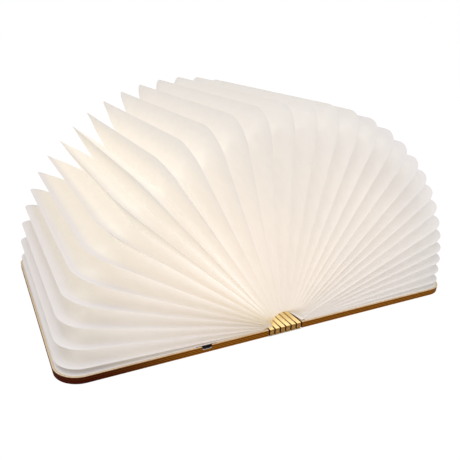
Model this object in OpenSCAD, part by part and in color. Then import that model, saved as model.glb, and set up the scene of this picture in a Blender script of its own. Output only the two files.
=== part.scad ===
// Folding book lamp: two plywood covers on a kerfed wooden spine, with a
// pleated paper shade that fans out as the book opens and folds flat as it
// shuts. It stands here lying open flat. X runs across the spine, Y along it,
// Z is up, and the origin is on the table under the middle of the spine.

/* [Covers] */
// Length of the book along its spine
book_len = 215; // [170:1:280]
// Width of one cover, from the spine to the fore-edge
cover_w = 155; // [130:1:220]
// Thickness of each of the two wooden plies
ply_t = 2.4; // [2.3:0.1:3]
// Thickness of the cloth between the plies
liner_t = 0.4; // [0.2:0.05:0.6]
// Radius of the covers' outer corners
cover_r = 19; // [9:0.5:25]

/* [Spine] */
// Number of wooden slats in the spine
slat_count = 6; // [4:1:8]
// Width of one slat
slat_w = 3.5; // [3.3:0.1:5]
// Space left between the slats' edges when the book is shut
kerf_gap = 0.11; // [0.05:0.01:0.5]
// How far the cloth stops short of the wood all round
liner_inset = 0.3; // [0.1:0.1:1]

/* [Paper shade] */
// Number of outward folds in the fan
fold_count = 31; // [21:1:31]
// Thickness of a pressed fold, two layers of paper
fold_t = 0.24; // [0.16:0.02:0.3]
// Thickness of a single layer of the pleats
paper_t = 0.2; // [0.1:0.02:0.24]
// Depth over which each fold is pressed together
crease_w = 6; // [4:0.5:10]
// How far the walls of a pleat lap onto the pressed part of their folds
pleat_lap = 1; // [0.5:0.5:2]
// Depth of the pleats, from outward fold to inward fold
pleat_depth = 28; // [18:1:36]
// How far the paper stays inside the cover's outline
paper_inset = 1.5; // [0.5:0.1:4]
// Radius of the inward folds' corners
valley_r = 3; // [1:0.5:6]
// Height of the folds' roots above the slats
root_lift = 0.5; // [0.45:0.05:0.8]
// Distance from a fold's root to the start of its pressed edge
root_start = 6; // [5:0.5:10]
// Angle between a cover and the fold next to it, in degrees
first_angle = 2; // [1:0.1:3]
// How far the open fan leans over under its own weight, in degrees
fan_lean = 8.5; // [0:0.5:9]
// How far towards its far end the fan leans most, 1 being its middle
lean_bias = 2.6; // [1:0.1:3]
// Thickness of the end papers glued to the covers
end_paper_t = 0.15; // [0.1:0.01:0.2]

/* [Light module] */
// Length of the light module along the spine
module_len = 112; // [98:1:130]
// Width of the light module
module_w = 58; // [54:1:80]
// Distance from the spine's middle to the module's centre
module_x = 66; // [55:1:90]
// Thickness of the module's plastic walls and floor
module_wall = 1.2; // [1:0.1:2]
// Radius of the module's corners
module_r = 8; // [4:0.5:12]
// Width of the ledge that carries the light board
ledge_w = 2; // [1:0.1:3]
// Height of the frosted cap above the tray
cap_h = 4; // [3:0.1:4.6]
// Length of the battery pouch
battery_len = 86; // [60:1:90]
// Width of the battery pouch
battery_w = 46; // [34:1:48]
// Thickness of the battery pouch
battery_t = 4.2; // [3:0.1:4.6]
// Thickness of the light board
led_board_t = 1; // [0.8:0.1:1.2]
// Number of rows of light-emitting diodes along the board
led_rows = 6; // [3:1:8]
// Distance between the two columns of diodes
led_spread = 24; // [12:1:36]
// Width of one square light-emitting diode
led_w = 2.8; // [2:0.1:3.5]
// Thickness of one light-emitting diode
led_t = 0.8; // [0.5:0.1:1]

/* [Charging socket] */
// Distance from the spine's middle to the socket
socket_x = 66; // [55:1:90]
// Width of the socket's metal shell
socket_w = 7.5; // [7:0.1:8]
// Height of the socket's metal shell
socket_h = 2.6; // [2.4:0.1:2.7]
// Depth of the socket's metal shell
socket_d = 5.6; // [5:0.1:7]
// Thickness of the shell's sheet metal
shell_t = 0.3; // [0.2:0.05:0.4]
// Thickness of the contact tongue inside the shell
tongue_t = 0.6; // [0.4:0.05:0.7]
// Width of the charging board
charge_w = 16; // [12:0.5:20]
// Length of the charging board
charge_len = 24; // [18:1:30]
// Distance from the cover's front edge to the charging board
charge_inset = 1.2; // [1:0.1:2]
// Thickness of the charging board
charge_t = 0.8; // [0.6:0.1:0.9]
// Width of the square chips on the charging board
chip_w = 4; // [3:0.5:5]
// Thickness of the chips
chip_t = 1; // [0.6:0.1:1.2]
// How far the chips stay from the long edges of the charging board
chip_edge = 1; // [0.5:0.5:2]
// Gap between the socket and the chips
chip_gap = 2; // [1:0.5:3]
// Width of the flat lead from the charging board to the light module
lead_w = 4; // [3:0.5:6]
// Thickness of the flat lead
lead_t = 0.8; // [0.5:0.1:1]
// Gap between the end of the battery and the lead
lead_gap = 3; // [2:0.5:5]

/* [Magnets] */
// Diameter of a closing magnet
magnet_d = 10; // [6:0.5:12]
// Thickness of a closing magnet
magnet_t = 1.6; // [1:0.1:1.8]
// Distance of a magnet's centre from the cover's edges
magnet_edge = 18; // [12:1:30]

/* [Clearances] */
// Clearance round a part that sits in a pocket
fit = 0.15; // [0.05:0.05:0.2]
// Clearance between neighbouring layers of paper
paper_gap = 0.08; // [0.05:0.01:0.1]

/* [Hidden] */
$fn = 48;
cut = 1;
board_t = 2 * ply_t + liner_t;
inner_z = ply_t + liner_t;
mid_z = board_t / 2;

// The spine: hinge lines run down the middle of each kerf, in the cloth, and
// a kerf is just wide enough for the slats to lean together.
hinge_count = slat_count + 1;
turn = 180 / hinge_count;
kerf_w = board_t * tan(turn / 2) + kerf_gap;
pitch = slat_w + kerf_w;
spine_edge = (slat_count * pitch + kerf_w) / 2;
cover_edge = spine_edge + cover_w;
function slat_x(k) = (k - hinge_count / 2) * pitch;
function hinge_x(k) = slat_x(k - 0.5);

// Shut, the spine bends to half a polygon. These give hinge k's place then,
// measured from the left cover's middle plane.
function shut_z(k) = k <= 1 ? 0 : shut_z(k - 1) + pitch * sin((k - 1) * turn);
function shut_x(k) = k <= 1 ? hinge_x(1) : shut_x(k - 1) + pitch * cos((k - 1) * turn);

// Each fold is rooted on the slat that brings it to its own level in the
// stack between the shut covers. The first and last are rooted on the covers.
root_z = mid_z + root_lift;
root_margin = kerf_w / 2 + fit;
stack_step = (shut_z(hinge_count) - 2 * root_z) / (fold_count - 1);
function stack_z(i) = root_z + (i - 1) * stack_step;
function lifted(k, s) = shut_z(k) + s * sin(k * turn) + root_z * cos(k * turn);
function slat_of(i, k = 1) =
    i == 1 ? 0
    : i == fold_count ? hinge_count
    : k >= slat_count || stack_z(i) <= lifted(k, pitch - root_margin) ? k
    : slat_of(i, k + 1);
function on_slat(i, k) =
    k == 0 ? -slat_w
    : k == hinge_count ? slat_w
    : min(max((stack_z(i) - lifted(k, 0)) / sin(k * turn), root_margin), pitch - root_margin);
function root_x(i) = let (k = slat_of(i)) hinge_x(max(k, 1)) + on_slat(i, k);
function shut_root_x(i) =
    let (k = slat_of(i))
    k == 0 ? root_x(1) : shut_x(k) + on_slat(i, k) * cos(k * turn) - root_z * sin(k * turn);

// Shut, every fold reaches the same fore-edge. Open, the folds fan out from
// cover to cover and lean over a little.
function fold_len(i) = shut_root_x(i) + cover_edge - paper_inset;
function fan_share(i) = (i - 1) / (fold_count - 1);
function fold_angle(i) =
    first_angle + fan_share(i) * (180 - 2 * first_angle) + fan_lean * sin(180 * pow(fan_share(i), lean_bias));

paper_half = book_len / 2 - paper_inset;
paper_r = cover_r - paper_inset;
pleat_start = crease_w - pleat_lap;
face_off = fold_t / 2 + paper_gap;
corner_steps = 4;

module_top = board_t + module_wall + battery_t + fit + led_board_t;
battery_z = board_t + module_wall;
led_z = module_top - led_board_t;
board_len = module_len - 2 * (module_wall + fit);
board_w = module_w - 2 * (module_wall + fit);
socket_z = board_t - socket_h;
charge_z = socket_z - charge_t;
pocket_floor = charge_z - fit;
front_y = -book_len / 2;
charge_y = front_y + charge_inset;
charge_end = charge_y + charge_len;
lead_y = -battery_len / 2 - lead_gap;

wood = [0.76, 0.55, 0.34];
pale_wood = [0.86, 0.7, 0.5];
paper = [0.96, 0.93, 0.86];
plastic = [0.9, 0.9, 0.88];

function two_figures(n) = str(n < 10 ? "0" : "", n);
fold_names = [for (i = [1 : fold_count]) str("fold_", two_figures(i))];
slat_names = [for (k = [1 : slat_count]) str("slat_", k)];
pleat_names = [for (k = [1 : slat_count]) str("pleats_", k)];

// Flat shape from x = -len to x = -start, with round corners at its far side.
module leaf(len, half, r, start) {
    translate([-len, r - half]) square([r + cut / 10, 2 * (half - r)]);
    translate([r - len, -half]) square([len - r - start, 2 * half]);
    for (side = [-1, 1]) translate([r - len, side * (half - r)]) circle(r);
}

// The same leaf as a band of one width, open towards the spine.
module leaf_band(len, half, r, start, band) {
    difference() {
        leaf(len, half, r, start);
        leaf(len - band, half - band, max(r - band, valley_r), start - cut);
    }
}

module rounded_rect(w, len, r) {
    for (x = [-1, 1], y = [-1, 1]) translate([x * (w / 2 - r), y * (len / 2 - r)]) circle(r);
    square([w, len - 2 * r], center = true);
    square([w - 2 * r, len], center = true);
}

module cover_shape(inset = 0) {
    leaf(cover_edge - inset, book_len / 2 - inset, cover_r - inset, spine_edge);
}

module magnet_places() {
    for (side = [-1, 1])
        translate([magnet_edge - cover_edge, side * (book_len / 2 - magnet_edge), inner_z]) children();
}

module cover_board(z) {
    difference() {
        translate([0, 0, z]) linear_extrude(ply_t) cover_shape();
        translate([0, 0, -fit]) magnet_places() cylinder(d = magnet_d + 2 * fit, h = magnet_t + 2 * fit);
    }
}

// Room for the charging board, its socket and its lead, under the end paper.
module charge_pocket() {
    translate([-socket_x - charge_w / 2 - fit, charge_y - fit, pocket_floor])
        cube([charge_w + 2 * fit, charge_len + 2 * fit, board_t + cut - pocket_floor]);
    translate([-socket_x, front_y - cut, socket_z + socket_h / 2])
        rotate([-90, 0, 0]) linear_extrude(socket_d) socket_shape(fit);
    translate([-socket_x - lead_w / 2 - fit, charge_end, socket_z - fit])
        cube([lead_w + 2 * fit, lead_y - charge_end + lead_t + fit, lead_t + 2 * fit]);
    lead_riser(fit);
}

// Shape of the socket seen from the front: flat on top, with sloping sides.
module socket_shape(grow) {
    w = socket_w / 2 + grow;
    h = socket_h / 2 + grow;
    slope = socket_h / 3;
    polygon([[-w, -h], [w, -h], [w, h - slope], [w - slope, h], [slope - w, h], [-w, h - slope]]);
}

module left_outer_board() {
    color(wood) difference() {
        cover_board(0);
        charge_pocket();
    }
}

module left_inner_board() {
    color(pale_wood) difference() {
        cover_board(inner_z);
        charge_pocket();
    }
}

module right_outer_board() {
    color(wood) mirror([1, 0, 0]) cover_board(0);
}

module right_inner_board() {
    color(pale_wood) mirror([1, 0, 0]) cover_board(inner_z);
}

// One cloth runs through the whole book between the plies, and is the hinge.
module spine_cloth() {
    color([0.4, 0.3, 0.2]) difference() {
        translate([0, 0, ply_t]) linear_extrude(liner_t) {
            cover_shape(liner_inset);
            mirror([1, 0]) cover_shape(liner_inset);
            square([2 * spine_edge + cut, book_len - 2 * liner_inset], center = true);
        }
        charge_pocket();
        magnet_clearance();
        mirror([1, 0, 0]) magnet_clearance();
    }
}

module magnet_clearance() {
    translate([0, 0, -fit]) magnet_places() cylinder(d = magnet_d + 2 * fit, h = magnet_t);
}

module slat(k) {
    color(pale_wood) for (z = [0, inner_z])
        translate([slat_x(k) - slat_w / 2, front_y, z]) cube([slat_w, book_len, ply_t]);
}

module end_paper() {
    color(paper) translate([0, 0, board_t]) linear_extrude(end_paper_t)
        leaf_band(cover_edge - paper_inset, paper_half, paper_r, spine_edge + paper_inset, pleat_depth);
}

// One outward fold: two layers of paper pressed together along the outline.
module fold(i) {
    color(paper) translate([root_x(i), 0, mid_z + root_z]) rotate([0, fold_angle(i), 0])
        linear_extrude(fold_t, center = true)
            leaf_band(fold_len(i), paper_half, paper_r, root_start, crease_w);
}

// A point of the paper in the plane of a fold: out is the distance from the
// root, y runs along the spine and off is the distance above the plane.
function paper_point(angle, root, out, y, off = 0) =
    [root - out * cos(angle) + off * sin(angle), y, mid_z + root_z + out * sin(angle) + off * cos(angle)];

// Places round the paper's outline: the near arm, the two corners of the
// fore-edge and the far arm, each with how far along it, from 0 to 1.
stations = concat(
    [[0, 0], [0, 0.5]],
    [for (part = [1, 2], j = [0 : corner_steps]) [part, j / corner_steps]],
    [[3, 0.5], [3, 1]]
);

function outline(station, inset, len, start) =
    let (part = station[0], t = station[1], r = max(paper_r - inset, valley_r), x = len - inset - r,
         y = paper_half - inset - r, a = 90 * (part == 1 ? t - 1 : t))
    part == 0 ? [start + (x - start) * t, -y - r]
    : part == 3 ? [x + (start - x) * t, y + r]
    : [x + r * cos(a), (part == 1 ? -y : y) + r * sin(a)];

// The pleat between fold i and the next starts where the two folds have
// spread far enough for two layers of paper.
function spread_start(i) =
    let (rise = fold_angle(i + 1) - fold_angle(i), sine = min(sin(fold_angle(i)), sin(fold_angle(i + 1))))
    max(3, (2 * face_off + 3 * paper_t - (root_x(i + 1) - root_x(i)) * sine) * 180 / PI / rise);

// Section of a pleat at one station: from fold i in to the inward fold and
// out to fold i + 1, and back along the other face. The two faces are split
// into triangles the same way, so that the paper keeps its thickness.
function pleat_section(i, station) =
    let (start = spread_start(i), low = fold_angle(i), high = fold_angle(i + 1),
         a = outline(station, pleat_start, fold_len(i), start),
         c = outline(station, pleat_start, fold_len(i + 1), start),
         a1 = paper_point(low, root_x(i), a[0], a[1], face_off),
         a2 = paper_point(low, root_x(i), a[0], a[1], face_off + paper_t),
         c1 = paper_point(high, root_x(i + 1), c[0], c[1], -face_off),
         c2 = paper_point(high, root_x(i + 1), c[0], c[1], -face_off - paper_t),
         len = (fold_len(i) + fold_len(i + 1)) / 2,
         root = (root_x(i) + root_x(i + 1)) / 2,
         thick = (pleat_depth - pleat_start) * min(0.8, 2 * paper_t / norm(a1 - c1)),
         b1 = outline(station, pleat_depth, len, start),
         b2 = outline(station, pleat_depth - thick, len, start),
         mean = (low + high) / 2)
    [a1, paper_point(mean, root, b1[0], b1[1]), c1, c2, paper_point(mean, root, b2[0], b2[1]), a2];

module pleat(i) {
    sections = [for (s = stations) pleat_section(i, s)];
    n = len(sections[0]);
    last = n * (len(sections) - 1);
    polyhedron(
        points = [for (section = sections, p = section) p],
        faces = concat(
            [for (j = [0 : len(sections) - 2], e = [0 : n - 1], half = [0, 1])
                let (p = n * j + e, q = n * j + (e + 1) % n)
                e == 3 || e == 4 ? (half == 0 ? [p, q, p + n] : [q, q + n, p + n])
                : half == 0 ? [p, q, q + n] : [p, q + n, p + n]],
            [[0, 5, 4], [0, 4, 1], [1, 4, 3], [1, 3, 2]],
            [for (f = [[0, 4, 5], [0, 1, 4], [1, 3, 4], [1, 2, 3]]) [for (v = f) v + last]]
        ),
        convexity = 10
    );
}

// The pleats beside the folds that slat k carries.
module pleats(k) {
    color(paper) for (i = [1 : fold_count - 1])
        if (min(max(slat_of(i), 1), slat_count) == k) pleat(i);
}

// The board carries the charging chip and, at the other side of its far end,
// the sensor that a magnet in the other cover switches when the book shuts.
module charge_board() {
    translate([-socket_x, charge_y, charge_z]) {
        color([0.1, 0.35, 0.2]) translate([-charge_w / 2, 0, 0]) cube([charge_w, charge_len, charge_t]);
        color([0.1, 0.1, 0.1]) for (side = [-1, 1])
            translate([side * (charge_w / 2 - chip_w / 2 - chip_edge) - chip_w / 2, socket_d + chip_gap, 0])
                cube([chip_w, chip_w, charge_t + chip_t]);
    }
}

module usb_socket() {
    translate([-socket_x, front_y + fit, socket_z + socket_h / 2]) rotate([-90, 0, 0]) {
        color([0.78, 0.79, 0.8]) difference() {
            linear_extrude(socket_d) socket_shape(0);
            translate([0, 0, -cut]) linear_extrude(socket_d) socket_shape(-shell_t);
        }
        color([0.92, 0.92, 0.9]) translate([shell_t * 4 - socket_w / 2, -tongue_t / 2, shell_t * 2])
            cube([socket_w - shell_t * 8, tongue_t, socket_d - cut - shell_t * 2]);
    }
}

module lead_riser(grow) {
    translate([-socket_x - lead_w / 2 - grow, lead_y - grow, socket_z - grow])
        cube([lead_w + 2 * grow, lead_t + 2 * grow, led_z - socket_z + grow]);
}

// Flat lead from the charging board, through the inner ply, up to the lights.
module charge_lead() {
    color([0.85, 0.25, 0.2]) {
        translate([-socket_x - lead_w / 2, charge_end - lead_w, socket_z])
            cube([lead_w, lead_y - charge_end + lead_w + lead_t, lead_t]);
        lead_riser(0);
    }
}

module battery_tray() {
    color(plastic) translate([-module_x, 0, 0]) difference() {
        translate([0, 0, board_t]) linear_extrude(module_top - board_t)
            rounded_rect(module_w, module_len, module_r);
        translate([0, 0, led_z - fit]) linear_extrude(module_top)
            rounded_rect(board_w + 2 * fit, board_len + 2 * fit, module_r - module_wall);
        translate([0, 0, battery_z]) linear_extrude(module_top)
            rounded_rect(board_w - 2 * ledge_w, board_len - 2 * ledge_w, module_r - module_wall - ledge_w);
        translate([module_x, 0, 0]) lead_riser(fit);
    }
}

module battery() {
    color([0.75, 0.77, 0.8]) translate([-module_x - battery_w / 2, -battery_len / 2, battery_z])
        cube([battery_w, battery_len, battery_t]);
}

module led_board() {
    color([0.95, 0.95, 0.93]) translate([-module_x, 0, led_z])
        linear_extrude(led_board_t) rounded_rect(board_w, board_len, module_r - module_wall - fit);
}

module leds() {
    step = (board_len - 2 * module_r) / led_rows;
    color([1, 0.85, 0.45]) for (row = [0 : led_rows - 1], side = [-1, 1])
        translate([side * led_spread / 2 - module_x, (row - (led_rows - 1) / 2) * step, module_top + led_t / 2])
            cube([led_w, led_w, led_t], center = true);
}

// Frosted cap over the diodes, open below, standing on the tray's rim.
module light_cap() {
    color([1, 0.96, 0.88]) translate([-module_x, 0, module_top]) difference() {
        linear_extrude(cap_h) rounded_rect(module_w, module_len, module_r);
        translate([0, 0, -cut]) linear_extrude(cap_h - module_wall + cut)
            rounded_rect(module_w - 2 * module_wall, module_len - 2 * module_wall, module_r - module_wall);
    }
}

module magnets() {
    color([0.7, 0.7, 0.72]) magnet_places() cylinder(d = magnet_d, h = magnet_t);
}

left_outer_board();
left_inner_board();
right_outer_board();
right_inner_board();
spine_cloth();
end_paper();  // left_end_paper
mirror([1, 0, 0]) end_paper();  // right_end_paper
charge_board();
usb_socket();
charge_lead();
battery_tray();
battery();
led_board();
leds();
light_cap();
magnets();  // left_magnets
mirror([1, 0, 0]) magnets();  // right_magnets
for (k = [1 : slat_count]) slat(k);
for (k = [1 : slat_count]) pleats(k);
for (i = [1 : fold_count]) fold(i);
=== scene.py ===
# %% [markdown]
# # A folding book lamp
# Two plywood covers turn on a spine of thin wooden slats, and a shade of
# pleated white paper fans out between them when the book is opened. This
# lesson dresses the finished frame: it loads every rigid part, builds the
# paper shade as one mathematical surface, gives each part its finish, and
# sets up the camera and a plain, soft light.

# %% Load the frame
import math

import bpy
import numpy as np
from mathutils import Matrix


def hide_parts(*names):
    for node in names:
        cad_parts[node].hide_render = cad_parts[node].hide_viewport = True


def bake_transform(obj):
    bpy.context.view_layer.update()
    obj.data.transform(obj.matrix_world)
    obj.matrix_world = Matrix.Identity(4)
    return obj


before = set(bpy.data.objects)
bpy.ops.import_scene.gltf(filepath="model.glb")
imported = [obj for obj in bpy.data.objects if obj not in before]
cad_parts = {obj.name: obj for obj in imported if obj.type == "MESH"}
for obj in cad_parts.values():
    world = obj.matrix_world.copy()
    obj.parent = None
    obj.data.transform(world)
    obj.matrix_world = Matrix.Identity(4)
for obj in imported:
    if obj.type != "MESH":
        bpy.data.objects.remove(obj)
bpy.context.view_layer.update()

# %% [markdown]
# ## Camera
# The lamp is seen from its front left and from above. A camera is easiest to
# aim when its three axes are written down: where it looks, what is to its
# right, and what is up. They come from a turn about the upright axis, a tilt
# down and a slight roll. A small shift moves the frame without turning the
# camera, so that upright lines keep their slant.

# %% Camera
turn, tilt, roll = 0.45704, 0.48250, 0.02275
ahead = np.array([math.sin(turn) * math.cos(tilt), math.cos(turn) * math.cos(tilt), -math.sin(tilt)])
level = np.array([math.cos(turn), -math.sin(turn), 0.0])
upright = np.cross(level, ahead)
right = math.cos(roll) * level + math.sin(roll) * upright
up = math.cos(roll) * upright - math.sin(roll) * level

lens = bpy.data.cameras.new("studio_camera")
lens.sensor_width = 36
lens.lens = 38.908
lens.shift_x, lens.shift_y = 0.02563, 0.12770
lens.clip_start, lens.clip_end = 0.01, 50
camera = bpy.data.objects.new("studio_camera", lens)
pose = np.eye(4)
pose[:3, 0], pose[:3, 1], pose[:3, 2] = right, up, -ahead
pose[:3, 3] = [-0.18978, -0.37474, 0.20561]
camera.matrix_world = Matrix(pose.tolist())
bpy.context.scene.collection.objects.link(camera)
bpy.context.scene.camera = camera
print("camera looks along", ahead.round(3))

# %% [markdown]
# ## The plan of the spine
# The shade has to follow the frame exactly, so the few sizes that the frame is
# built from are written again here, in millimetres. Seven hinge lines run
# down the gaps between the slats, and each turns by a seventh of half a turn
# when the book shuts.

# %% Sizes of the book
hinges = 7
step_angle = 180 / hinges
board_top = 5.2
mid = board_top / 2
slat_width, gap_spare = 3.5, 0.11
gap_width = board_top * math.tan(math.radians(step_angle / 2)) + gap_spare
pitch = slat_width + gap_width
spine_edge = ((hinges - 1) * pitch + gap_width) / 2
cover_width = 155.0
cover_edge = spine_edge + cover_width
print("gap", round(gap_width, 2), "pitch", round(pitch, 2), "fore-edge at", round(cover_edge, 2))

# %% Hinge lines, open and shut
hinge_x = (np.arange(1, hinges + 1) - 0.5 - hinges / 2) * pitch
turned = np.radians(np.arange(1, hinges) * step_angle)
shut_z = np.concatenate([[0], np.cumsum(pitch * np.sin(turned))])
shut_x = hinge_x[0] + np.concatenate([[0], np.cumsum(pitch * np.cos(turned))])
print("hinge lines at", hinge_x.round(2), "shut thickness", round(shut_z[-1] + board_top, 2))

# %% Sizes of the paper
half_length = 106.0
corner_radius = 17.5
pleat_depth = 28.0
sheet_thickness = 0.2
root_clearance = 0.5
root_height = mid + root_clearance
fore_edge_inset = 1.5
print("paper", 2 * half_length, "mm long, pleats", pleat_depth, "mm deep")

# %% [markdown]
# ## The paper shade as a surface
# The shade is one long strip of spun-bonded paper, cut to the outline of the
# cover, pleated 31 times and glued at both ends to the covers. It could be
# modelled pleat by pleat, but the pleats only differ in their angle, so it is
# better written as a function. One parameter, s, counts folds round the fan:
# whole numbers are outward folds and halves are inward folds. The other runs
# along the cover's outline, from the spine out along the near edge, round the
# fore-edge and back along the far edge.

# %% Angle of the fan
fold_count = 31
first_angle, last_angle, lean = 2, 178, 8.5
fold_numbers = np.arange(0, fold_count + 2)
share = np.clip((fold_numbers - 1) / (fold_count - 1), 0, 1)
fold_angles = first_angle + share * (last_angle - first_angle) + lean * np.sin(np.pi * share**2.6)
fold_angles[0], fold_angles[-1] = 0, 180


def fan_angle(s):
    """Angle above the left cover, in degrees: even steps from 2 to 178 degrees,
    plus a lean of 8.5 sin(pi t^2.6), and flat on a cover at either end."""
    return np.interp(s, fold_numbers, fold_angles)


print("folds are spread by", np.diff(fold_angles).round(1)[[0, 1, 15, 30]], "degrees")

# %% [markdown]
# When the book shuts, every fold has to lie at its own level between the
# covers. That fixes where a fold leaves the spine: its root sits on its slat
# just where the slat, once it has turned, reaches that level. All folds then
# reach the same fore-edge, and that fixes how long each one is. The three
# folds next to a cover ease over to where the end leaf is glued.

# %% Root and reach of a fold
stack_step = (shut_z[-1] - 2 * root_height) / (fold_count - 1)
eased_folds, glued_at, end_drop = 3, 3.5, 0.3


def root_and_reach(s):
    """Root x, root height above the table and length of the paper at s.
    The level in the stack is z*(s), and the root lies u from hinge k, where
    z* = shut_z(k) + u sin(a) + root_height cos(a)."""
    angle = np.radians(fan_angle(s))
    sector = np.clip((np.degrees(angle) / step_angle).astype(int), 0, hinges - 1)
    level_z = root_height + (np.clip(s, 1, fold_count) - 1) * stack_step
    rise = level_z - shut_z[sector] - root_height * np.cos(angle)
    along = rise / np.maximum(np.sin(angle), 1e-6)
    from_end = np.minimum(s, fold_count + 1 - s)
    eased = np.clip(from_end, 0, eased_folds) / eased_folds
    glued = np.where(s < (fold_count + 1) / 2, -glued_at, glued_at)
    beside_cover = (s < eased_folds) | (s > fold_count + 1 - eased_folds)
    along = np.where(beside_cover, glued + (along - glued) * eased**2, along)
    along = np.clip(along, -glued_at, pitch + glued_at)
    root = hinge_x[sector] + along
    shut_root = shut_x[sector] + along * np.cos(angle) - root_height * np.sin(angle)
    drop = end_drop * np.clip(1 - from_end, 0, 1)
    return root, mid + root_height - drop, shut_root + cover_edge - fore_edge_inset


for s in (0, 1, 2, 8, 16, 24, 31, 32):
    root, height, reach = root_and_reach(np.array([float(s)]))
    print("fold", s, "root", root.round(2), "height", height.round(2), "reach", reach.round(1))

# %% [markdown]
# Seen in the plane of one fold the paper is a band with round corners, open
# towards the spine. It is walked round in five parts: an arm, a corner, the
# fore-edge, the other corner and the other arm. Points crowd together at the
# root of an arm, where the outline changes fastest.

# %% Stations round a leaf
arm = np.linspace(0, 1, 27) ** 1.35
bend = np.linspace(0, 1, 11)[1:]
edge = np.linspace(0, 1, 23)[1:]
walk = [arm, bend, edge, bend, 1 - arm[::-1][1:]]
stations = np.concatenate([np.stack([np.full(len(t), part), t], 1) for part, t in enumerate(walk)])
print(len(stations), "stations round a leaf")


def ramp(value, low, high):
    """0 below low, 1 above high, and 3t^2 - 2t^3 between."""
    t = np.clip((value - low) / (high - low), 0, 1)
    return t * t * (3 - 2 * t)


print("a ramp from 0 to 1 passes", ramp(np.array([0.25, 0.5, 0.75]), 0, 1))

# %% [markdown]
# Beside the spine the band is cut back in a small arch, so that the bundle of
# folds can turn there without tearing: the ends of the slats show through
# that arch. A leaf that lies on a cover is hardly cut, so the cut grows over
# the first 0.7 radian that a leaf stands up.

# %% Outline of a leaf
cut_depth, cut_least, cut_more, cut_right = 21, 1.5, 11.5, 0.8
standing_angle = 0.7
least_radius = 3


def leaf_outline(part, t, depth, reach, angle):
    """Distance from the root and place along the spine, for a line that runs
    depth inside the leaf's outer edge: straight arms, quarter circles of the
    cover's corner radius less depth, and a straight fore-edge. Over the slats
    the first 13 mm of an arm are cut back on a slant, up to 21 mm deep at the
    root. Next to a cover only the first 2 mm are, and at the right one almost
    squarely, so that the last slat shows up to its gap."""
    radius = np.maximum(corner_radius - depth, least_radius)
    far = reach - depth - radius
    side = half_length - depth - radius
    turn_angle = np.radians(90 * t)
    where = [part == 0, part == 1, part == 2, part == 3]
    reach_out = np.select(
        where,
        [far * t, far + radius * np.sin(turn_angle), far + radius, far + radius * np.cos(turn_angle)],
        far * (1 - t),
    )
    place = np.select(
        where,
        [-(side + radius) + 0 * t, -side - radius * np.cos(turn_angle), side * (2 * t - 1),
         side + radius * np.sin(turn_angle)],
        side + radius + 0 * t,
    )
    over_slats = ramp(angle, 0, 0.12) * ramp(np.pi - angle, 0, 0.02)
    standing = ramp(np.pi - angle, 0, standing_angle)
    cut_out = cut_least + cut_more * ramp(angle, 0, standing_angle) * standing + cut_right * (1 - standing)
    inward = np.clip(1 - reach_out / cut_out, 0, 1)
    cut_back = cut_depth * over_slats * ramp(angle, -0.3, 2.4) * (1 - depth / (pleat_depth + 1))
    place = place - np.sign(place) * cut_back * inward ** (0.15 + standing)
    return reach_out, place


out, place = leaf_outline(stations[:, 0], stations[:, 1], 0.0, 150.0, np.pi / 2)
print("an upright leaf starts", round(half_length + place[0], 1), "mm in, and is", out.max(), "mm long")

# %% [markdown]
# A pleat's two walls lie flat against each other at the outward fold and part
# towards the inward fold, a little faster than in a straight line, as creased
# paper does. Each wall gets its second face 0.2 mm further inside, so the
# strip is a closed sheet with a real thickness. Its foot dips to meet the
# glue on the slat.

# %% Points of the paper
foot_length, foot_dip = 1.5, 0.45
end_leaf_dip = 0.17
least_share = 0.15


def paper_points(s, fraction, inner):
    """Points, in metres, for columns (s, fraction of the pleat depth) and all
    stations. A column's point at distance r from the root is
    (root - r cos a, place, height + r sin a)."""
    s, fraction = s[:, None], fraction[:, None]
    part, t = stations[None, :, 0], stations[None, :, 1]
    page = np.round(s)
    root, height, reach = root_and_reach(s)
    angle = np.radians(fan_angle(s))
    depth = pleat_depth * fraction
    out, place = leaf_outline(part, t, depth, reach, angle)
    if inner:
        middle = np.radians(fan_angle(page))
        shift = np.minimum(np.abs(angle - middle) * 0.9, sheet_thickness / np.maximum(out, 4))
        end_leaf = (page == 0) | (page == fold_count + 1)
        angle = angle - np.where(end_leaf, 0, np.sign(angle - middle) * shift)
        depth = depth + sheet_thickness * (least_share + (1 - least_share) * fraction)
        out, place = leaf_outline(part, t, depth, reach, angle)
        height = height - np.where(end_leaf, end_leaf_dip * (1 - fraction), 0)
    foot = np.clip(1 - out / foot_length, 0, 1)
    z = height + out * np.sin(angle) - foot_dip * foot
    points = np.stack([root - out * np.cos(angle), place + 0 * out, z], -1)
    return points / 1000


sample = paper_points(np.array([16.0]), np.array([0.0]), False)
print("fold 16 rises to", round(1000 * sample[..., 2].max(), 1), "mm")

# %% Columns of one piece
wall_curve = 1.25
least_gap = 0.004


def columns_between(first, last):
    """Columns of one piece: eight steps from each fold to the next, with
    s = page +- 0.5 f^1.25, plus one column exactly at either end."""
    f = np.linspace(0, 1, 9)
    s_all, f_all = [], []
    for page in range(0, fold_count + 2):
        if page > 0:
            s_all.append(page - 0.5 * f[::-1][1:] ** wall_curve)
            f_all.append(f[::-1][1:])
        if page < fold_count + 1:
            s_all.append(page + 0.5 * f[int(page > 0):] ** wall_curve)
            f_all.append(f[int(page > 0):])
    s_all, f_all = np.concatenate(s_all), np.concatenate(f_all)
    ends = np.interp([first, last], fold_angles, fold_numbers)
    end_f = (np.abs(ends - np.round(ends)) * 2) ** (1 / wall_curve)
    keep = (s_all > ends[0] + least_gap) & (s_all < ends[1] - least_gap)
    s_list = np.concatenate([[ends[0]], s_all[keep], [ends[1]]])
    f_list = np.concatenate([[end_f[0]], f_all[keep], [end_f[1]]])
    return s_list, f_list


s_list, f_list = columns_between(0, step_angle)
print("the first piece has", len(s_list), "columns")

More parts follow.
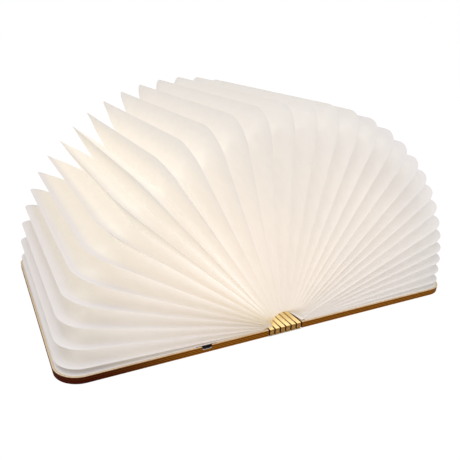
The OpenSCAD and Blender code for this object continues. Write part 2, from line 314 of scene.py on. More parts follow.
# %% [markdown]
# ## Light on the paper
# The paper glows with the lamp's own light, and white walls that face each
# other hand every bit of light on many times, so a pleat evens itself out.
# The glow is therefore worked out backwards. First comes the brightness that
# an eye sees: highest above the light module in the left cover, lower towards
# both covers, warm where a single layer of paper faces the inside and cool at
# the outward folds, where two layers are pressed together. What a point
# reflects, from the room or from the wall across, is taken off that, and the
# rest is the paper's own glow. It is kept on the mesh as a colour.
#
# The brightness is a sum of soft humps and ramps over three measures: the
# angle round the fan, the distance out from the spine, and how deep a point
# sits in its pleat.

# %% Humps and zones
paper_deep, paper_fold = np.array([0.76, 0.73, 0.69]), np.array([0.76, 0.725, 0.72])
tone_near, tone_far = np.array([1.0, 0.88, 0.77]), np.array([1.0, 0.945, 0.89])


def bell(angle, middle, width):
    """exp(-((angle - middle) / width)^2), with angles in degrees, or distances
    in millimetres."""
    return np.exp(-(((angle - middle) / width) ** 2))


def zones(angle, out, fraction):
    """Four shares, from 0 to 1: tip near the fore-edge, fold near an outward
    fold, crisp at its very crease, and low for the pleats by the left cover."""
    tip = ramp(out, 110, 165)
    fold = 1 - ramp(fraction, 0.1, 0.6)
    crisp = 1 - ramp(fraction, 0, 0.35)
    low = 1 - ramp(angle, 35, 60)
    return tip, fold, crisp, low


print("zones of a fold's tip", [float(v) for v in zones(20.0, 170.0, 0.0)])

# %% Brightness that an eye sees
def seen_level(angle, out, fraction):
    """A base level of 0.7, plus one line or two for each thing that the light
    does. Angles are in degrees and out is in millimetres."""
    tip, fold, crisp, low = zones(angle, out, fraction)
    wall = 1 - fold
    side = 1 - ramp(angle, 5, 55) + ramp(angle, 115, 150)
    # The fan is brightest over the module, and bright again past upright.
    level = 0.7 + 0.03 * ramp(angle, 10, 90) + (0.21 + 0.12 * fraction) * bell(angle, 48, 34)
    level = level + 0.15 * bell(angle, 120, 48) + 0.05 * bell(angle, 80, 14) * bell(out, 80, 45)
    # It falls off at the spine and far out, but not beside the covers.
    level = level - 0.04 * np.exp(-out / 25) - 0.07 * (out / 170) ** 4
    level = level - 0.06 * bell(angle, 45, 20) * np.exp(-out / 30)
    level = level + np.exp(-out / 50) * (0.13 * bell(angle, 0, 18) + 0.07 * bell(angle, 180, 20))
    # The fore-edge is a little darker than the arms, most of all at its folds.
    level = level - tip * fold * (0.14 * bell(angle, 18, 22) + 0.18 * bell(angle, 125, 25))
    level = level - tip * wall * 0.12 * bell(angle, 105, 20) - tip * 0.03 * bell(angle, 5, 14)
    level = level - tip * (0.04 * bell(angle, 15, 30) + 0.05 * bell(angle, 118, 25))
    # Next to the covers the walls and the folds even out.
    level = level + wall * (0.13 * (1 - ramp(angle, 5, 45)) + 0.10 * ramp(angle, 140, 170))
    level = level + 0.05 * fold * (1 - tip) * (bell(angle, 0, 12) + bell(angle, 180, 12))
    # At the sides of the fan each fold is drawn as a darker line.
    level = level + side * (0.16 * ramp(fraction, 0, 0.3) - 0.08)
    level = level + low * (0.03 - 0.08 * fold - 0.04 * crisp)
    level = level + bell(angle, 130, 14) * (0.04 - 0.08 * fold) - 0.04 * wall * bell(angle, 82, 14)
    return level


print("level over the module", round(float(seen_level(48.0, 90.0, 0.5)), 3))

# %% Colour that an eye sees
def seen_tone(angle, out, fraction):
    """From tone_far to tone_near by 1 - (out / 175)^2. A term that is taken
    off green and blue makes the paper warmer there, and one that is added
    makes it cooler."""
    tip, fold, crisp, low = zones(angle, out, fraction)
    deep = ramp(fraction, 0, 0.5)[..., None]
    near = (1 - (np.minimum(out, 175) / 175) ** 2)[..., None]
    tone = tone_far + (tone_near - tone_far) * near
    tone = tone + near * (bell(angle, 0, 25) + bell(angle, 180, 30))[..., None] * [0, 0.03, 0.08]
    tone = tone - deep * (bell(angle, 40, 35) * out / 170)[..., None] * [0, 0.035, 0.11]
    folds = tip * bell(angle, 10, 35) + low * (0.9 * fold + 0.9 * crisp - 0.3)
    tone = tone - folds[..., None] * [0, 0.02, 0.06]
    tone = tone - (bell(angle, 40, 25) * np.exp(-out / 30))[..., None] * [0, 0.03, 0.10]
    return tone


# %% The paper's own glow
def shade_light(s, fraction, points):
    """The paper's glow, as a colour. A point d deep in a groove that is w wide
    at its mouth sees the share m = (1 - d / sqrt(d^2 + w^2)) / 2 of the room,
    and the wall across fills the rest of its view, so with paper of colour p
    glow = seen (1 - p (1 - m)) - p m room. The room's light is weaker near the
    spine, and deep pleats lose a little of what they hand on."""
    spread = np.interp(s, fold_numbers[:-1] + 0.5, np.radians(np.diff(fold_angles)))[:, None]
    angle = fan_angle(s)[:, None] + 0 * points[..., 0]
    fraction = fraction[:, None]
    out = 1000 * np.hypot(points[..., 0], points[..., 2] - (mid + root_height) / 1000)
    inside = pleat_depth * fraction
    mouth = 0.03 + 0.5 * (1 - inside / np.sqrt(inside**2 + (1.8 * out * spread) ** 2 + 1e-6))
    mouth = mouth[..., None]
    seen = seen_level(angle, out, fraction)[..., None] * seen_tone(angle, out, fraction)
    own = paper_fold + (paper_deep - paper_fold) * ramp(fraction, 0, 0.5)[..., None]
    room = (0.80 + 0.22 * np.minimum(out / 110, 1))[..., None]
    lost = (1 + 0.33 * fraction**0.6 * (1 - out / 200))[..., None]
    return np.clip((seen * (1 - own * (1 - mouth)) - own * mouth * room) * lost, 0, 1)


glow = shade_light(np.array([16.0]), np.array([0.0]), sample)
print("glow of fold 16 from", glow[0].min(axis=0).round(2), "to", glow[0].max(axis=0).round(2))

# %% [markdown]
# ## From grids to closed sheets
# A sheet starts as two grids of points, one for each face. The same quads join
# the points of both, turned over on the second face, and a strip of walls
# closes the rim, so the mesh has no open edge. Creases are marked sharp, which
# keeps the shading of two walls apart without doubling any points.

# %% Sharp creases
def crease_edges(mesh, depth, seam):
    """Marks the edges that run along an outward or an inward fold, or along
    the column numbered seam, as sharp."""
    ends = np.empty(2 * len(mesh.edges), np.int32)
    mesh.edges.foreach_get("vertices", ends)
    ends = ends.reshape(-1, 2)
    where = np.tile(depth.reshape(-1), 2)[ends]
    folded = (np.ptp(where, axis=1) < 1e-6) & ((where[:, 0] < 1e-6) | (where[:, 0] > 1 - 1e-6))
    joined = (ends % depth.size // depth.shape[1] == seam).all(axis=1)
    layer = mesh.attributes.new("sharp_edge", "BOOLEAN", "EDGE")
    layer.data.foreach_set("value", folded | joined)


# %% Faces of a closed sheet
def sheet_faces(outer, inner):
    """Quads of both faces, then the walls round the rim, all of them turned
    over together if the first face would look inwards. Also says how many of
    them are not walls."""
    rows, cols = outer.shape[:2]
    count = rows * cols
    index = np.arange(count).reshape(rows, cols)
    quads = np.stack([index[:-1, :-1], index[1:, :-1], index[1:, 1:], index[:-1, 1:]], -1).reshape(-1, 4)
    rim = np.concatenate([index[:-1, 0], index[-1, :-1], index[:0:-1, -1], index[0, :0:-1]])
    ring = np.stack([rim, np.roll(rim, -1)], 1)
    walls = np.stack([ring[:, 1], ring[:, 0], ring[:, 0] + count, ring[:, 1] + count], 1)
    faces = np.concatenate([quads, quads[:, ::-1] + count, walls])
    i, j = rows // 2, cols // 2
    p, q, r = outer[i, j], outer[i + 1, j], outer[i + 1, j + 1]
    if np.dot(np.cross(q - p, r - p), p - inner[i, j]) < 0:
        faces = faces[:, ::-1]
    return faces, 2 * len(quads)


# %% A closed sheet
def closed_sheet(name, outer, inner, depth, glow, seam=-1):
    """A mesh from two grids of the same size, joined round their four sides,
    with each point's depth in its pleat and its glow."""
    faces, smooth_count = sheet_faces(outer, inner)
    points = np.concatenate([outer.reshape(-1, 3), inner.reshape(-1, 3)])
    mesh = bpy.data.meshes.new(name)
    mesh.from_pydata(points.tolist(), [], faces.tolist())
    mesh.polygons.foreach_set("use_smooth", np.arange(len(faces)) < smooth_count)
    layer = mesh.attributes.new("depth", "FLOAT", "POINT")
    layer.data.foreach_set("value", np.tile(depth.reshape(-1), 2).astype(np.float32))
    layer = mesh.attributes.new("glow", "FLOAT_COLOR", "POINT")
    colours = np.concatenate([glow.reshape(-1, 3), np.ones((depth.size, 1))], 1)
    layer.data.foreach_set("color", np.tile(colours, (2, 1)).astype(np.float32).reshape(-1))
    mesh.update()
    crease_edges(mesh, depth, seam)
    piece = bpy.data.objects.new(name, mesh)
    bpy.context.scene.collection.objects.link(piece)
    return piece


# %% Flat measures and the map of the paper
def sheet_measure(points):
    """Distance along the stations and across the columns, in metres."""
    along = np.cumsum(np.linalg.norm(np.diff(points, axis=1), axis=2), axis=1)
    across = np.cumsum(np.linalg.norm(np.diff(points, axis=0), axis=2), axis=0)
    along = np.concatenate([np.zeros((len(points), 1)), along], 1)
    across = np.concatenate([np.zeros((1, points.shape[1])), across], 0)
    return along, across


def add_map(mesh, along, across):
    """A UV map in which one unit is 100 mm of flat paper."""
    flat = np.tile(np.stack([along.reshape(-1), across.reshape(-1)], 1) * 10, (2, 1))
    corners = np.empty(len(mesh.loops), np.int32)
    mesh.loops.foreach_get("vertex_index", corners)
    layer = mesh.uv_layers.new(name="flat_paper")
    layer.data.foreach_set("uv", flat[corners].astype(np.float32).reshape(-1))


# %% [markdown]
# ## Seven pieces of the shade
# The fan crosses all seven hinge lines of the spine. It is made as seven
# pieces, one for each hinge line, each covering the fan's angles between two
# hinge lines. Each column's share of the bend, how far its angle has gone
# through the piece, is also worked out. A thin tongue reaches a little way
# into the next piece, so that no light slips in between the two.

# %% Build the seven pieces of the shade
bodies = ["left_cover"] + [f"slat_{k}" for k in range(1, hinges)] + ["right_cover"]
tongue = 0.006
blend_reach = 0.01
shade = []
for k in range(hinges):
    s_list, f_list = columns_between(k * step_angle, (k + 1) * step_angle)
    seam = -1
    if k < hinges - 1:
        seam = len(s_list) - 1
        s_list = np.append(s_list, s_list[-1] + tongue)
        f_list = np.append(f_list, (2 * abs(s_list[-1] - round(s_list[-1]))) ** (1 / wall_curve))
    outer = paper_points(s_list, f_list, False)
    inner = paper_points(s_list, f_list, True)
    along, across = sheet_measure(outer)
    if seam > 0:
        outer[-1], inner[-1] = 0.6 * outer[-1] + 0.4 * inner[-1], 0.4 * outer[-1] + 0.6 * inner[-1]
    glow = shade_light(s_list, f_list, outer)
    depth = np.broadcast_to(f_list[:, None], along.shape)
    piece = closed_sheet(f"shade_{k + 1}", outer, inner, depth, glow, seam)
    add_map(piece.data, along, across)
    hinge = hinge_x[k] / 1000
    bodies[k + 1]
    hinge - blend_reach
    hinge + blend_reach
    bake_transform(piece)
    bend_share = np.clip(fan_angle(s_list) / step_angle - k, 0, 1)
    area = float((np.diff(along, axis=1)[:-1] * np.diff(across, axis=0)[:, :-1]).sum())
    shade.append((piece, area, float(across.max()), float(along.max())))
    print(piece.name, len(piece.data.vertices), "points", "area", round(area, 4), "m2")

# %% [markdown]
# In the frame each fold is a stiff plate on its own hinge. The paper takes
# their place for the eye, so the folds and pleats whose angles each piece
# covers are listed and hidden.

# %% What the pieces stand for
slat_nodes = {k: [] for k in range(hinges)}
for i in range(1, fold_count + 1):
    sector = min(int(fold_angles[i] / step_angle), hinges - 1)
    slat_nodes[sector].append(f"fold_{i:02d}")
for k in range(1, hinges):
    slat_nodes[k - 1 if k < 4 else k].append(f"pleats_{k}")
slat_nodes[0].append("left_end_paper")
slat_nodes[hinges - 1].append("right_end_paper")
for k, (piece, area, wide, long) in enumerate(shade):
    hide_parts(*slat_nodes[k])
    bodies[k + 1]
print("the shade stands for", sum(map(len, slat_nodes.values())), "nodes")

# %% [markdown]
# ## The binding cloth
# One brown cloth runs through the whole book, between the plies of both
# covers and across the slats, and it is what the book turns on. In the frame
# it is one flat plate, which can't bend, so it gets seven pieces here as the
# shade does. Each reaches from the middle of one slat to the middle of the
# next, with close columns in the gap between them; the first and the last
# take in a whole cover. A piece is a grid between a lower and an upper edge.

# %% Outline of the binding cloth
cloth_low, cloth_high = 2.41, 2.79
cloth_reach, cloth_half, cloth_round = cover_edge - 0.3, 107.2, 18.7
pocket_x, pocket_y = (-74.2, -57.8), -82.1


def cloth_edges(x):
    """Lowest and highest place along the spine at x: straight sides, quarter
    circles at the corners, and a notch where the charging board sits."""
    past = np.clip(abs(x) - (cloth_reach - cloth_round), 0, cloth_round)
    high = cloth_half - cloth_round + np.sqrt(cloth_round**2 - past**2)
    in_pocket = (x > pocket_x[0]) & (x < pocket_x[1])
    return np.where(in_pocket, pocket_y, -high), high


print("cloth at the spine, and at its far corner", cloth_edges(np.array([0.0, cloth_reach]))[1].round(1))

# %% Pieces of the binding cloth
bend_half, bend_steps, cloth_rows = 0.65, 9, 24
corner = cloth_reach - cloth_round * (1 - np.sin(np.linspace(np.pi / 2, 0, 9)))
beside_pocket = [pocket_x[0], pocket_x[0] + 0.01, pocket_x[1] - 0.01, pocket_x[1]]
in_gap = np.linspace(-bend_half, bend_half, bend_steps)
cloths, areas = [], []
for k in range(hinges):
    x = hinge_x[k] + np.concatenate([[-pitch / 2], in_gap, [pitch / 2]])
    if k == 0:
        x = np.concatenate([-corner, beside_pocket, x[1:]])
    if k == hinges - 1:
        x = np.concatenate([x[:-1], corner[::-1]])
    low, high = cloth_edges(x)
    tall = high - low
    place = low[:, None] + tall[:, None] * np.linspace(0, 1, cloth_rows)
    grid = np.stack([x[:, None] + 0 * place, place, 0 * place], -1)
    top, bottom = (grid + [0, 0, height] for height in (cloth_high, cloth_low))
    half_depth = np.full(place.shape, 0.5)
    piece = closed_sheet(f"cloth_{k + 1}", top / 1000, bottom / 1000, half_depth, 0 * grid)
    hinge, reach = hinge_x[k] / 1000, bend_half / 1000
    bodies[k + 1]
    hinge - reach
    hinge + reach
    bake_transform(piece)
    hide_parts("spine_cloth")
    cloths.append(piece)
    areas.append(float(np.sum((tall[1:] + tall[:-1]) * np.diff(x)) / 2) * 1e-6)
print("binding cloth in", len(cloths), "pieces, area", round(sum(areas), 4), "m2")

# %% Flat size of the cloth
for piece, area, strips in ((cloths[0], areas[0], cloths[1:-1]), (cloths[-1], areas[-1], [])):
    wide = max(v.co.x for v in piece.data.vertices) - min(v.co.x for v in piece.data.vertices)
    2 * cloth_half / 1000
    print(piece.name, "with", len(strips), "narrow strips")

# %% [markdown]
# ## Shader maths in plain expressions
# A pattern is easier to read as an expression than as a chain of nodes. The
# small class below wraps one output of a material's node tree. Arithmetic on
# it adds the Math nodes, and a material helper adds any other node.

# %% The wire
class Wire:
    """A value in a material. Operators add Math nodes to its tree."""

    def __init__(self, finish, output):
        self.finish, self.output = finish, output

    def math(self, operation, other=None, swapped=False):
        values = [self] if other is None else [other, self] if swapped else [self, other]
        return self.finish.node("Math", {"operation": operation}, dict(enumerate(values)))

    def __add__(self, other):
        return self.math("ADD", other)

    def __sub__(self, other):
        return self.math("SUBTRACT", other)

    def __rsub__(self, other):
        return self.math("SUBTRACT", other, swapped=True)

    def __mul__(self, other):
        return self.math("MULTIPLY", other)

    def __gt__(self, other):
        return self.math("GREATER_THAN", other)

    def __abs__(self):
        return self.math("ABSOLUTE")

    __radd__, __rmul__ = __add__, __mul__

    def smooth(self, low, high):
        """0 below low, 1 above high, with a smooth step between."""
        ends = {"Value": self, "From Min": low, "From Max": high}
        return self.finish.node("MapRange", {"interpolation_type": "SMOOTHSTEP"}, ends)

    def wave(self, period):
        """Cosine of the value, from 0 to 1, one cycle in each period."""
        return (self * (2 * math.pi / period)).math("COSINE") * 0.5 + 0.5


# %% The finish
class Finish:
    """A material for one finish of this lamp."""

    def __init__(self, name, **constants):
        self.material = bpy.data.materials.new(name)
        self.material.use_nodes = True
        self.tree = self.material.node_tree
        self.skin = self.tree.nodes["Principled BSDF"]
        for key, value in constants.items():
            self.skin.inputs[key.replace("_", " ")].default_value = value

    def node(self, kind, settings=None, inputs=None, output=0):
        """Adds one node. Its settings are set before its sockets are filled."""
        made = self.tree.nodes.new("ShaderNode" + kind)
        for key, value in (settings or {}).items():
            setattr(made, key, value)
        for key, value in (inputs or {}).items():
            self.plug(value, made.inputs[key])
        return Wire(self, made.outputs[output])

    def plug(self, value, socket):
        """Links a wire to a socket, or writes a plain value in it."""
        if isinstance(value, Wire):
            self.tree.links.new(value.output, socket)
        elif isinstance(value, tuple) and socket.type == "RGBA":
            socket.default_value = (*value, 1)
        else:
            socket.default_value = value

    def place(self, scale=(1, 1, 1)):
        """Object coordinates in millimetres, stretched by scale."""
        where = self.node("TexCoord", output="Object")
        return self.node("Mapping", {}, {"Vector": where, "Scale": [1000 * v for v in scale]})

    def xyz(self, vector):
        """The three parts of a vector, as wires."""
        parts = self.node("SeparateXYZ", {}, {0: vector})
        return [Wire(self, output) for output in parts.output.node.outputs]

    def noise(self, vector, size, detail=3.0, rough=0.5, twist=0.0):
        """Soft noise whose blotches are about size across."""
        return self.node("TexNoise", {}, {"Vector": vector, "Scale": 1 / size, "Detail": detail,
                                          "Roughness": rough, "Distortion": twist})

    def mix(self, factor, first, second):
        """Colour between first and second."""
        return self.node("Mix", {"data_type": "RGBA"}, {0: factor, 6: first, 7: second}, output=2)

    def bump(self, height, strength, distance):
        """Relief for the Normal socket, with its distance in metres."""
        return self.node("Bump", {}, {"Strength": strength, "Distance": distance, "Height": height})

    def feed(self, **sockets):
        """Fills sockets of the skin and gives back the finished material."""
        for key, value in sockets.items():
            self.plug(value, self.skin.inputs[key.replace("_", " ")])
        return self.material


# %% Dress an object
def dress(material, *names):
    """Puts one material in every slot of the named objects."""
    for name in names:
        data = bpy.data.objects[name].data
        data.materials.clear()
        data.materials.append(material)
        print(material.name, "on", name)


# %% [markdown]
# ## Paper
# The shade is spun-bonded paper: long white fibres pressed into a sheet that
# doesn't tear. Held to a light it shows soft clouds where the fibres are
# denser. Its base colour is a cool white at the folds, where two layers keep
# the light in, and warmer in the pleats. The module's light is added as
# emission, from the colour kept on the mesh, yellow where it is strong.

# %% Paper finish
cloud_size, fibre_size = 0.09, 0.02
paper = Finish("spun_paper", Roughness=0.85, Emission_Strength=1.0)
flat = paper.node("UVMap", {"uv_map": "flat_paper"})
glow = paper.node("Attribute", {"attribute_name": "glow"}, output="Color")
depth = paper.node("Attribute", {"attribute_name": "depth"}, output="Fac")
clouds = paper.noise(flat, cloud_size, 4.0, 0.6)
stretched = paper.node("Mapping", {}, {"Vector": flat, "Scale": (3.0, 1.0, 1.0)})
fibres = paper.noise(stretched, fibre_size, 5.0, 0.65, 0.6)
white = paper.mix(depth.smooth(0.0, 0.5), tuple(paper_fold), tuple(paper_deep))
white = paper.mix(clouds.smooth(0.35, 0.7) * 0.05, white, (0.62, 0.58, 0.54))
shine = paper.mix(clouds.smooth(0.3, 0.75) * 0.08, glow, (0, 0, 0))
relief = paper.bump(fibres * 0.6 + clouds * 0.4, 0.12, 0.0004)
paper_material = paper.feed(Base_Color=white, Emission_Color=shine, Normal=relief)
dress(paper_material, *[piece.name for piece, *_ in shade])

# %% [markdown]
# ## Plywood
# Each cover is two three-ply boards with the binding cloth between them. The
# cut edge shows the plies: golden where the grain runs along the edge, and
# dark where it is cut across. The faces are sliced veneer with fine pores
# that run along the book. One material does both: it looks at which way the
# face points on the part itself, and picks stripes by height or grain.

# %% Plywood finish
def plywood(name, light, dark, edge_light, edge_dark, layers, scorch, corner=0.0, spill=0.0):
    """Veneer on the faces, and plies by height on the cut edges. layers are
    the heights, in millimetres, where dark plies begin and end. scorch is how
    brown the laser has burnt the cuts that run along the spine, corner how
    much darker the edge is at the left corners, and spill how strongly the
    lit shade's light is painted on, as glow, on the faces that look up at it
    and on the walls of the gaps. Near both ends of the spine the walls of the
    gaps are painted almost black, as shade."""
    wood = Finish(name, Specular_IOR_Level=0.04, Emission_Strength=spill)
    x, y, z = wood.xyz(wood.place())
    facing = wood.xyz(wood.node("TexCoord", output="Normal"))
    # The faces glued to the cloth count as cut edge, so that no pale veneer
    # shows where the boards meet.
    glued = z.smooth(2.2, 2.3) * (1 - z.smooth(2.9, 3.0))
    rim = (1 - abs(facing[2]).smooth(0.5, 0.8)).math("MAXIMUM", glued)
    long_grain = wood.noise(wood.place((1, 0.035, 1)), 1.6, 6.0, 0.62, 0.5)
    figure = wood.noise(wood.place((0.09, 0.006, 0.09)), 1.0, 3.0, 0.5, 1.2)
    pores = wood.noise(wood.place((3.2, 0.07, 3.2)), 1.0, 2.0, 0.5).smooth(0.62, 0.72)
    face = wood.mix((long_grain * 0.7 + figure * 0.5 - 0.1).smooth(0.3, 0.75), light, dark)
    face = wood.mix(pores * 0.45, face, tuple(0.45 * c for c in dark))
    height = z + (wood.noise(wood.place((0.12, 0.12, 0.12)), 1.0, 2.0) - 0.5) * 0.25
    stripe = 0.0
    for low, high in layers:
        band = height.smooth(low - 0.12, low + 0.12) * (1 - height.smooth(high - 0.12, high + 0.12))
        stripe = band + stripe
    strands = wood.noise(wood.place((0.35, 0.35, 4.0)), 1.0, 4.0, 0.6)
    cut = wood.mix(stripe * 0.9, edge_light, edge_dark)
    cut = wood.mix(strands.smooth(0.45, 0.85) * 0.4, cut, tuple(0.5 * c for c in edge_dark))
    along_spine = abs(facing[0]).smooth(0.35, 0.9)
    towards_corner = 1 - x.smooth(-150, -60)
    # Painted shade: near both ends of the spine the cut walls that face along x are painted almost black,
    # where the gaps lie in shade.
    gap_end_shade = abs(y).smooth(102.5, 105)
    darkened_cut = (along_spine * (scorch + gap_end_shade * (0.9 - scorch))).math("MAXIMUM", towards_corner * corner)
    cut = wood.mix(darkened_cut, cut, (0.045, 0.003, 0.0003))
    colour = wood.mix(rim, face, cut)
    relief = wood.bump(long_grain * 0.5 - pores * 0.6 - stripe * rim * 0.4, 0.25, 0.0003)
    # Painted light: faces that look up, and the walls of the gaps away from their ends, are given the lit
    # shade's glow.
    shone_on = facing[2].smooth(0.5, 0.8).math("MAXIMUM", along_spine * (1 - gap_end_shade) * 0.9)
    lit = wood.mix(shone_on, (0, 0, 0), face)
    return wood.feed(Base_Color=colour, Roughness=0.42 + long_grain * 0.18 + rim * 0.2, Normal=relief,
                     Emission_Color=lit)


# %% Three woods
cut_light, cut_dark = (0.36, 0.135, 0.010), (0.10, 0.022, 0.0005)
outer_wood = plywood("cover_ply", light=(0.62, 0.37, 0.15), dark=(0.40, 0.20, 0.065),
                     edge_light=cut_light, edge_dark=cut_dark,
                     layers=[(0.75, 1.65), (2.3, 2.7)], scorch=0.5, corner=0.97)
inner_wood = plywood("lining_ply", light=(0.70, 0.57, 0.40), dark=(0.56, 0.41, 0.25),
                     edge_light=cut_light, edge_dark=cut_dark,
                     layers=[(2.5, 2.9), (3.55, 4.45)], scorch=0.5, corner=0.92)
# The spine's veneer is lighter and more golden than the lining's: partly the wood's own colour, partly
# painted light from the lit shade above the slats.
slat_wood = plywood("spine_ply", light=(0.90, 0.70, 0.33), dark=(0.84, 0.61, 0.27),
                    edge_light=(0.40, 0.215, 0.06), edge_dark=(0.22, 0.09, 0.015),
                    layers=[(0.9, 1.5), (3.6, 4.2)], scorch=0.15, spill=0.25)
dress(outer_wood, "left_outer_board", "right_outer_board")
dress(inner_wood, "left_inner_board", "right_inner_board")
dress(slat_wood, *[f"slat_{k}" for k in range(1, hinges)])

# %% [markdown]
# ## Finish of the binding cloth
# The cloth shows as a dark line at the bottom of every gap in the spine. A
# weave is two waves at right angles, each raised where the other dips. In the
# middle of the gaps the lamp lights it, so it is painted a lighter brown and
# given a faint glow there; inside the covers and near both ends of the gaps no
# light reaches it, so it is painted almost black as shade and its glow stops
# there.

# %% Cloth finish
thread = 0.42
cloth = Finish("binding_cloth", Roughness=0.9, Specular_IOR_Level=0.04, Emission_Strength=0.2)
x, y, _ = cloth.xyz(cloth.place())
warp, weft = x.wave(thread), y.wave(thread)
weave = warp * (1 - weft) + weft * (1 - warp)
brown = cloth.mix(weave.smooth(0.2, 0.8), (0.16, 0.085, 0.038), (0.34, 0.20, 0.095))
# Painted shade and light: inside the covers and near both ends of the gaps the cloth is painted almost
# black, as shade, and only the lit middle of the gaps keeps its lighter brown and its glow.
cloth_in_shade = abs(x).smooth(14.0, 16.0).math("MAXIMUM", abs(y).smooth(103.0, 106.0))
brown = cloth.mix(cloth_in_shade, brown, (0.03, 0.012, 0.004))
shone_on = cloth.mix(cloth_in_shade, brown, (0, 0, 0))
cloth_material = cloth.feed(Base_Color=brown, Emission_Color=shone_on, Normal=cloth.bump(weave, 0.4, 0.0001))
dress(cloth_material, *[piece.name for piece in cloths])

# %% [markdown]
# ## Plastic, metal and electronics
# Everything else sits inside the lamp: the light module with its battery and
# diodes, and the charging board behind its socket. They get simple finishes,
# each with the fine texture of its real counterpart.

# %% Moulded plastic
def moulded(name, colour, roughness, texture, **constants):
    """Plastic with a spark-eroded grain and faint cloudiness."""
    plastic = Finish(name, **constants)
    grain = plastic.noise(plastic.place(), texture, 3.0, 0.6)
    haze = plastic.noise(plastic.place(), 22.0, 2.0)
    tint = plastic.mix(haze.smooth(0.35, 0.65) * 0.5, colour, tuple(0.9 * c for c in colour))
    relief = plastic.bump(grain, 0.12, 0.0001)
    return plastic.feed(Base_Color=tint, Roughness=roughness + grain * 0.12, Normal=relief)


tray = moulded("tray_plastic", (0.80, 0.80, 0.78), 0.45, 0.6)
sleeve = moulded("lead_sleeve", (0.55, 0.05, 0.03), 0.4, 0.8)
cap = moulded("frosted_cap", (0.86, 0.82, 0.74), 0.55, 0.4,
              Emission_Color=(1, 0.78, 0.45, 1), Emission_Strength=0.6)
diodes = moulded("warm_diodes", (0.95, 0.72, 0.20), 0.3, 0.3,
                 Emission_Color=(1, 0.75, 0.35, 1), Emission_Strength=1.5)
dress(tray, "battery_tray")
dress(sleeve, "charge_lead")
dress(cap, "light_cap")
dress(diodes, "leds")

# %% [markdown]
# A circuit board is coloured lacquer over copper tracks, which show through
# as faint raised lines. Two square waves make the grid, and noise breaks it
# up, so that it doesn't look like graph paper.

# %% Circuit boards
def board(name, mask, copper):
    """Solder mask over a faint grid of copper tracks."""
    plate = Finish(name, Coat_Weight=0.4)
    x, y, _ = plate.xyz(plate.place())
    tracks = (x.wave(1.3) > 0.86).math("MAXIMUM", y.wave(2.1) > 0.9)
    tracks = tracks * plate.noise(plate.place(), 3.0, 1.0).smooth(0.45, 0.5)
    return plate.feed(Base_Color=plate.mix(tracks * 0.6, mask, copper), Roughness=0.35 + tracks * 0.1,
                      Normal=plate.bump(tracks, 0.3, 0.00005))


dress(board("green_board", (0.02, 0.13, 0.05), (0.10, 0.32, 0.12)), "charge_board")
dress(board("white_board", (0.84, 0.84, 0.81), (0.70, 0.70, 0.66)), "led_board")

# %% [markdown]
# The socket's steel, the battery's foil and the nickel on the magnets are one
# finish in three colours: metal with fine marks drawn out along the way it
# was rolled.

# %% Metals
def metal(name, colour, roughness, size, stretch, mouth=None):
    """Sheet metal with rolling marks along one way. mouth is the height, in
    millimetres, above which a socket is painted dark, as shade inside it and at its upper lip."""
    plate = Finish(name, Metallic=1.0)
    marks = plate.noise(plate.place(stretch), size, 4.0, 0.6)
    tint = plate.mix(marks.smooth(0.3, 0.7), colour, tuple(0.86 * c for c in colour))
    if mouth:
        *_, z = plate.xyz(plate.place())
        # Painted shade: above mouth the socket is painted almost black, for the shade inside it and at its
        # upper lip.
        tint = plate.mix(z.smooth(mouth - 0.2, mouth + 0.2), tint, (0.012, 0.008, 0.006))
    relief = plate.bump(marks, 0.08, 0.0001)
    return plate.feed(Base_Color=tint, Roughness=roughness + marks * 0.15, Normal=relief)


socket = metal("socket_steel", (0.72, 0.72, 0.72), 0.22, 1.0, (1.5, 0.2, 1.5), mouth=3.5)
dress(socket, "usb_socket")
dress(metal("battery_foil", (0.74, 0.76, 0.79), 0.34, 4.0, (1, 1, 1)), "battery")
dress(metal("nickel", (0.66, 0.65, 0.62), 0.2, 1.4, (1, 1, 0.3)), "left_magnets", "right_magnets")

# %% [markdown]
# ## Floor and light
# The floor and the surroundings are white to the camera and to anything shiny
# and a plain pale grey to everything else, so that the light on the lamp stays
# level. The floor keeps a trace of shadow, and under the spine it isn't
# whitened at all, so that the gaps between the slats stay dark. One large
# soft lamp hangs above, and the sky does the rest.

# %% Floor
floor_half, floor_z = 9, -0.0004
floor_mesh = bpy.data.meshes.new("studio_floor")
floor_corners = [(-floor_half, -floor_half, floor_z), (floor_half, -floor_half, floor_z),
                 (floor_half, floor_half, floor_z), (-floor_half, floor_half, floor_z)]
floor_mesh.from_pydata(floor_corners, [], [(0, 1, 2, 3)])
floor = bpy.data.objects.new("studio_floor", floor_mesh)
bpy.context.scene.collection.objects.link(floor)
print("floor", 2 * floor_half, "m across")

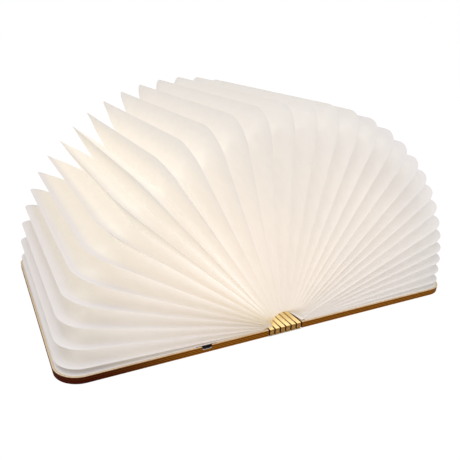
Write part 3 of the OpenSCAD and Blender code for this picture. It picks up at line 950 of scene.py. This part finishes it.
# %% Finish of the floor
ground = Finish("studio_white", Roughness=0.9, Base_Color=(0.8, 0.8, 0.8, 1))
rays = ground.node("LightPath")
seen = [Wire(ground, rays.output.node.outputs[name]) for name in
        ("Is Camera Ray", "Is Glossy Ray", "Is Transmission Ray")]
seen = seen[0].math("MAXIMUM", seen[1]).math("MAXIMUM", seen[2])
bright = ground.node("Emission", {}, {"Color": (1, 1, 1), "Strength": 1.08})
x, y, _ = ground.xyz(ground.place())
clear_of_spine = abs(x).smooth(13.5, 15.5).math("MAXIMUM", abs(y).smooth(107, 108.5))
below = ground.node("NewGeometry", output="Backfacing")
clear = ground.node("BsdfTransparent")
plain = Wire(ground, ground.skin.outputs[0])
shell = ground.node("MixShader", {}, {0: seen * 0.84 * clear_of_spine, 1: plain, 2: bright})
shell = ground.node("MixShader", {}, {0: below, 1: shell, 2: clear})
ground.plug(shell, ground.tree.nodes["Material Output"].inputs["Surface"])
floor_mesh.materials.append(ground.material)
print("floor finish with", len(ground.tree.nodes), "nodes")

# %% Sky
sky = bpy.data.worlds.new("studio_sky")
sky.use_nodes = True
bpy.context.scene.world = sky
tree = sky.node_tree
background = tree.nodes["Background"]
path = tree.nodes.new("ShaderNodeLightPath")
seen = path.outputs["Is Camera Ray"]
for name in ("Is Glossy Ray", "Is Transmission Ray"):
    larger = tree.nodes.new("ShaderNodeMath")
    larger.operation = "MAXIMUM"
    tree.links.new(seen, larger.inputs[0])
    tree.links.new(path.outputs[name], larger.inputs[1])
    seen = larger.outputs[0]
level_node = tree.nodes.new("ShaderNodeMapRange")
level_node.inputs["To Min"].default_value = 0.72
level_node.inputs["To Max"].default_value = 1.0
tree.links.new(seen, level_node.inputs["Value"])
background.inputs["Color"].default_value = (1, 1, 1, 1)
tree.links.new(level_node.outputs[0], background.inputs["Strength"])
print("sky level", round(level_node.inputs["To Min"].default_value, 2))

# %% Soft lamp
soft = bpy.data.lights.new("soft_box", "AREA")
soft.shape, soft.size, soft.energy = "DISK", 1.2, 9.0
lamp = bpy.data.objects.new("soft_box", soft)
lamp.location = (-0.35, -0.55, 1.3)
lamp.rotation_euler = (math.radians(23), math.radians(-14), 0)
bpy.context.scene.collection.objects.link(lamp)
bpy.context.scene.view_settings.view_transform = "Standard"
print("soft box", soft.energy, "W")
